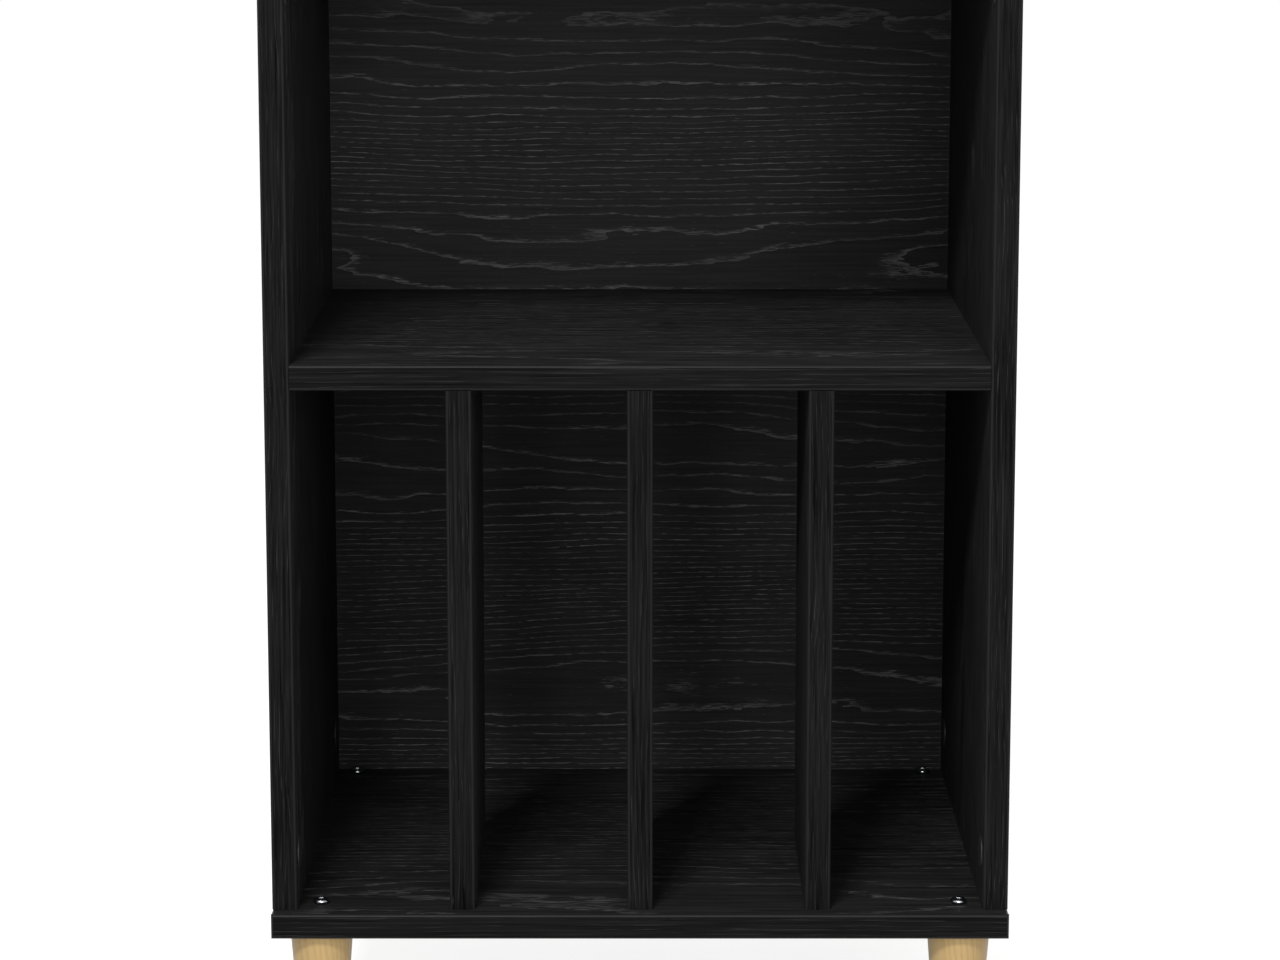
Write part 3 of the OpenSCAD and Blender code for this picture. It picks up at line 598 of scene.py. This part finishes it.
def fittings(name, profile, places, material, replaced, recess=None, segments=48, thread=None):
    """One piece, with a turned fitting on each (position, facing) place, that stands for CAD nodes."""
    made = new_object(name, [position for position, _ in places])
    facing = made.data.attributes.new("facing", "FLOAT_VECTOR", "POINT")
    for item, (_, way) in zip(facing.data, places):
        item.vector = way
    line = new_object(name + "_profile", [(r, 0, z) for r, z in profile],
                      edges=[(i, i + 1) for i in range(len(profile) - 1)])
    values = {"Profile": line, "Segments": segments, "Finish": material}
    if recess is not None:
        values["Recess"] = recess
    if thread is not None:
        values["Threaded"] = True
        values |= {f"Thread {size}": value * MM for size, value in thread.items()}
    modifier = made.modifiers.new("turned", "NODES")
    modifier.node_group = FITTING
    for item in FITTING.interface.items_tree:
        if item.in_out == "INPUT" and item.name in values:
            modifier[item.identifier] = values[item.name]
    bpy.context.view_layer.update()
    mesh = bpy.data.meshes.new_from_object(made.evaluated_get(bpy.context.evaluated_depsgraph_get()))
    made.modifiers.clear()
    made.data = mesh
    outwards(mesh)
    for helper in (line, recess):
        if helper is not None:
            bpy.data.objects.remove(helper)
    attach(made, "root")
    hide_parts(*replaced)


def at_legs(z):
    """Places on the legs' axes, facing up."""
    return [((x, y, z), UP) for x in (-LEG_X, LEG_X) for y in (-LEG_Y, LEG_Y)]


def at_joints():
    """Places where the side boards meet base, top and shelf, facing into the board that holds the cams."""
    base = [((x, y, CARCASS_Z), UP) for x in (-SIDE_X, SIDE_X) for y in CAM_YS]
    top = [((x, y, TOP_Z), DOWN) for x in (-SIDE_X, SIDE_X) for y in CAM_YS]
    shelf = [((side * INNER_X, y, SHELF_MID_Z), (-side, 0, 0)) for side in (-1, 1) for y in CAM_YS]
    return base + top + shelf


def at_caps():
    """Places of the caps on the side boards' inner faces."""
    return [((side * INNER_X, y, z), (-side, 0, 0)) for side in (-1, 1) for y in CAM_YS for z in CAP_ZS]


def at_divider_screws():
    """Places of the dividers' screws in the underside of the base."""
    return [((x, y, BASE_Z), UP) for x in DIVIDER_XS for y in DIVIDER_YS]


def at_back_screws():
    """Places of the back's screws: a row up each side board, and one along the shelf."""
    sides = [((x, REAR_Y, z), FRONTWARD) for x in (-SIDE_X, SIDE_X) for z in SIDE_SCREW_ZS]
    return sides + [((x, REAR_Y, SHELF_MID_Z), FRONTWARD) for x in SHELF_SCREW_XS]


def turn_legs():
    """Legs: a straight taper, soft at the foot, bored for the insert and for the glide's nail."""
    foot_z, foot_r, top_r, soft, chamfer = 3.0, 12.5, 20, 1.5, 0.5
    flank_z, flank_r = 4.6, 19.96
    nail_r, nail_top, insert_r, insert_foot = 1.1, 18.3, 6.1, 81.2
    taper = math.atan((top_r - foot_r) / (BASE_Z - foot_z))
    foot = foot_r - soft * (1 - math.sin(taper)) / math.cos(taper)
    profile = [(0, nail_top), (nail_r, nail_top), (nail_r, foot_z),
               *arc(foot, foot_z + soft, soft, -90, -math.degrees(taper), 6),
               *straight((foot + soft, flank_z), (flank_r, BASE_Z - chamfer), 8),
               (top_r - chamfer, BASE_Z), (insert_r, BASE_Z), (insert_r, insert_foot), (0, insert_foot)]
    fittings("turned_legs", profile, at_legs(0), pine, LEGS, segments=96)


def turn_leg_bolts():
    """Button head bolts, M6: drawn in below, round at the shoulder, flat on top round a hexagon socket."""
    length, tip_r, shank_r, chamfer = 30, 2.0, 2.5, 0.7
    head_r, head_h, shoulder, undercut, rim_z = 5.25, 3.3, 1.5, 0.8, 1.7
    socket_flats, mouth_flats, socket_h = 2.8, 4.0, 2
    profile = [(0, -length), (tip_r, -length), (shank_r, chamfer - length), (shank_r, 0),
               (head_r - undercut, 0), (head_r, rim_z),
               *arc(head_r - shoulder, head_h - shoulder, shoulder, 0, 90, 12), (0, head_h)]
    socket = prism("hex_socket", hexagon(socket_flats), head_h - socket_h, head_h + socket_h,
                   mouth=hexagon(mouth_flats))
    thread = {"radius": 3.0, "depth": 0.5, "pitch": 1.0, "start": -29.0, "length": 27.0}
    fittings("leg_button_bolts", profile, at_legs(CARCASS_Z), chrome, ["leg_bolts"],
             recess=socket, segments=64, thread=thread)


def turn_leg_inserts():
    """Threaded inserts of the legs, driven by a hexagon, with a coarse thread outside."""
    length, bore_r, body_r, lead_r, lead_l = 18, 3.1, 5.3, 4.9, 0.8
    flange_r, flange_h, chamfer, drive_h = 6.0, 1.5, 0.3, 4
    drive = prism("hex_drive", hexagon(flats=8, turned=30), -drive_h, drive_h)
    profile = [(bore_r, 0), (flange_r - chamfer, 0), (flange_r, -chamfer), (flange_r, -flange_h),
               (body_r, -flange_h - chamfer), (body_r, lead_l - length), (lead_r, -length),
               (bore_r, -length), (bore_r, 0)]
    thread = {"radius": 6.0, "depth": 0.7, "pitch": 2.5, "start": -16.5, "length": 14.5}
    fittings("leg_thread_inserts", profile, at_legs(BASE_Z), zinc, ["leg_inserts"],
             recess=drive, thread=thread)


def turn_glides():
    """Glides of the legs: a disc with a soft edge, bored and sunk for its nail."""
    disc_r, disc_h, soft, chamfer = 10, 3.0, 0.8, 0.3
    bore_r, sink_r, sink_h = 1.1, 3.1, 1.5
    disc = [(bore_r, disc_h), (bore_r, sink_h), (sink_r, sink_h), (sink_r, 0), (disc_r - soft, 0),
            *arc(disc_r - soft, soft, soft, -60, 0, 4), (disc_r, disc_h - chamfer),
            (disc_r - chamfer, disc_h), (bore_r, disc_h)]
    fittings("foot_glides", disc, at_legs(0), plastic, ["leg_glides"], segments=64)


def turn_glide_nails():
    """Nails of the glides, their heads sunk in the discs."""
    head_r, head_z, head_h, bevel_w, bevel_h = 3.0, 0.7, 0.8, 0.5, 0.25
    shank_r, tip_z, tip_l = 1.0, 16.5, 2.3
    seat_z = head_z + head_h
    nail = [(0, head_z), (head_r - bevel_w, head_z), (head_r, head_z + bevel_h), (head_r, seat_z),
            (shank_r, seat_z), (shank_r, tip_z - tip_l), (0, tip_z)]
    fittings("foot_nails", nail, at_legs(0), steel, ["glide_nails"], segments=32)


def turn_cam_caps():
    """Caps over the cams: a thin disc with a soft edge and a pin."""
    cap_r, cap_h, pin_r, pin_l, chamfer = 10.5, 0.8, 1.5, 2.4, 0.3
    profile = [(0, cap_h), (cap_r - cap_h, cap_h), *arc(cap_r - cap_h, 0, cap_h, 75, 0, 5), (pin_r, 0),
               (pin_r, chamfer - pin_l), (pin_r - chamfer, -pin_l), (0, -pin_l)]
    fittings("cam_caps", profile, at_caps(), plastic,
             ["base_cam_covers", "top_cam_covers"], segments=64)


def turn_cam_bolts():
    """Bolts that the cams pull on: wood thread, collar, smooth shaft, neck and cone head."""
    root_l, root_r, tip_r, lead_l, collar_r, collar_h = 10.5, 2.4, 1.9, 0.6, 3.8, 1.2
    shaft_r, chamfer_r, chamfer_l, neck_r, neck_z = 3.0, 2.6, 0.5, 1.9, 24.7
    cone_z, head_r, rim_h, end_z, recess_h = 28.2, 3.2, 0.3, 31.1, 1.5
    recess = prism("bolt_cross", cross(span=3.6, width=0.9), end_z - recess_h, end_z + recess_h)
    profile = [(0, -root_l), (tip_r, -root_l), (root_r, lead_l - root_l), (root_r, 0), (collar_r, 0),
               (collar_r, collar_h), (shaft_r, collar_h), (shaft_r, neck_z - chamfer_l),
               (chamfer_r, neck_z), (neck_r, neck_z), (neck_r, cone_z), (head_r, end_z - rim_h),
               (head_r, end_z), (0, end_z)]
    thread = {"radius": 3.0, "depth": 0.6, "pitch": 1.8, "start": -9.6, "length": 9.2}
    fittings("cam_bolts", profile, at_joints(), steel,
             ["base_cam_bolts", "top_cam_bolts", "shelf_cam_bolts"],
             recess=recess, thread=thread)


def turn_divider_screws():
    """Sunk screws up through the base into the dividers."""
    length, head_r, head_h, rim, shank_r = 45, 4.0, 2.0, 0.1, 2.0
    root_r, root_z, tip_l, tip_r, blunt, recess_h = 1.45, 3.0, 4, 0.5, 0.2, 1.7
    recess = prism("sunk_cross", cross(span=4.2, width=0.9), -recess_h, recess_h)
    profile = [(0, 0), (head_r - rim, 0), (head_r, rim), (shank_r, head_h), (root_r, root_z),
               (root_r, length - tip_l), (tip_r, length - blunt), (0, length)]
    thread = {"radius": 2.0, "depth": 0.5, "pitch": 1.8, "start": 4.0, "length": 37.0}
    fittings("sunk_screws", profile, at_divider_screws(), steel, ["divider_screws"],
             recess=recess, thread=thread)


def turn_back_screws():
    """Pan head screws that hold the back on."""
    length, head_r, head_h, soft = 16, 3.0, 2.2, 1.1
    root_r, tip_l, tip_r, blunt, recess_h = 1.1, 3.4, 0.4, 0.2, 1.1
    recess = prism("pan_cross", cross(span=3.2, width=0.8), -recess_h - head_h, recess_h - head_h)
    profile = [(0, -head_h), (head_r - soft, -head_h), *arc(head_r - soft, soft - head_h, soft, -70, 0, 5),
               (head_r, 0), (root_r, 0), (root_r, length - tip_l), (tip_r, length - blunt), (0, length)]
    thread = {"radius": 1.5, "depth": 0.4, "pitch": 1.3, "start": 0.8, "length": 12.0}
    fittings("pan_head_screws", profile, at_back_screws(), steel, ["back_screws"],
             recess=recess, thread=thread)


turn_legs()
turn_leg_bolts()
turn_leg_inserts()
turn_glides()
turn_glide_nails()
turn_cam_caps()
turn_cam_bolts()
turn_divider_screws()
turn_back_screws()


# Finishes of the CAD nodes

def finish(material, *names):
    """Gives CAD nodes their material."""
    for name in names:
        slots = nodes[name].data.materials
        slots.clear()
        slots.append(material)


finish(top_oak, "top_panel")
finish(base_oak, "base_panel")
finish(shelf_oak, "middle_shelf")
finish(left_oak, "left_side_panel")
finish(right_oak, "right_side_panel")
finish(divider_oak, *DIVIDERS)
finish(back_oak, "back_panel")
finish(band_wide, "top_front_band", "top_rear_band", "base_front_band", "base_rear_band", "shelf_band")
finish(band_deep, "top_left_band", "top_right_band", "base_left_band", "base_right_band")
finish(band_tall, "left_side_band", "right_side_band")
for divider in DIVIDERS:
    finish(band_tall, divider + "_front_band", divider + "_rear_band")
finish(zinc, "leg_inserts", "base_cams", "top_cams", "shelf_cams")
finish(steel, "base_cam_bolts", "top_cam_bolts", "shelf_cam_bolts")
finish(steel, "glide_nails", "divider_screws", "back_screws")
finish(chrome, "leg_bolts")
finish(pine, *LEGS)
finish(plastic, "leg_glides", "base_cam_covers", "top_cam_covers")
finish(beech_rod, "base_dowels", "top_dowels", "shelf_dowels", "divider_dowels")


# Studio

def white_where_seen(tree):
    """1 for rays that see the background: straight, in a gloss or through glass."""
    path = add(tree, "ShaderNodeLightPath").outputs
    straight_on, in_gloss, through = path["Is Camera Ray"], path["Is Glossy Ray"], path["Is Transmission Ray"]
    seen = add(tree, "ShaderNodeMath", {0: straight_on, 1: in_gloss}, operation="ADD")
    return add(tree, "ShaderNodeMath", {0: seen, 1: through}, operation="ADD", use_clamp=True)


def studio_floor():
    """A pale floor that keeps the stand's shadow and is white to the camera elsewhere."""
    half_width = 40000
    material, tree = new_material("studio_floor")
    paint = add(tree, "ShaderNodeBsdfDiffuse", {"Color": linear("#c8c8c8")})
    glow = add(tree, "ShaderNodeMath", {0: white_where_seen(tree), 1: 0.82}, operation="MULTIPLY")
    lit = add(tree, "ShaderNodeEmission", {"Color": (1, 1, 1, 1), "Strength": glow})
    both = add(tree, "ShaderNodeAddShader", {0: paint, 1: lit})
    add(tree, "ShaderNodeOutputMaterial", {"Surface": both})
    ends = (-half_width, half_width)
    floor = new_object("studio_floor", [(x, y, 0) for x in ends for y in ends], faces=[(0, 2, 3, 1)])
    floor.data.materials.append(material)


def studio_world():
    """White to the camera and in glosses, and a low even light on everything else."""
    world = bpy.data.worlds.new("studio")
    tree = emptied(world)
    strength = add(tree, "ShaderNodeMapRange",
                   {"Value": white_where_seen(tree), "To Min": 0.33, "To Max": 1.0})
    lit = add(tree, "ShaderNodeBackground", {"Color": (1, 1, 1, 1), "Strength": strength})
    add(tree, "ShaderNodeOutputWorld", {"Surface": lit})
    bpy.context.scene.world = world


def softbox(name, azimuth, elevation, distance, width, height, power):
    """An area lamp at that bearing from the stand, in metres. Azimuth goes from the front to the right."""
    aim = (0, 0, 0.38)
    a, e = math.radians(azimuth), math.radians(elevation)
    lamp = bpy.data.lights.new(name, "AREA")
    lamp.shape, lamp.size, lamp.size_y, lamp.energy = "RECTANGLE", width, height, power
    box = bpy.data.objects.new(name, lamp)
    way = (math.sin(a) * math.cos(e), -math.cos(a) * math.cos(e), math.sin(e))
    box.location = [p + distance * w for p, w in zip(aim, way)]
    box.rotation_euler = (math.pi / 2 - e, 0, a)
    box.visible_camera = False
    bpy.context.scene.collection.objects.link(box)


def photo_camera():
    """A long lens in front of the stand, a little above its top, tipped down at it."""
    sensor_mm, lens_mm, distance, height, tip = 36.0, 111.67, 2.599, 0.834, 10.346
    camera = bpy.data.objects.new("camera", bpy.data.cameras.new("camera"))
    camera.data.sensor_width, camera.data.lens = sensor_mm, lens_mm
    camera.location = (0, -distance, height)
    camera.rotation_euler = (math.radians(90 - tip), 0, 0)
    bpy.context.scene.collection.objects.link(camera)
    bpy.context.scene.camera = camera


photo_camera()
studio_floor()
studio_world()
softbox("key_softbox", azimuth=-16, elevation=40, distance=4.0, width=1.0, height=0.6, power=114)
softbox("front_softbox", azimuth=7, elevation=10, distance=3.2, width=2.0, height=1.6, power=60)
bpy.context.scene.view_settings.view_transform = "Standard"
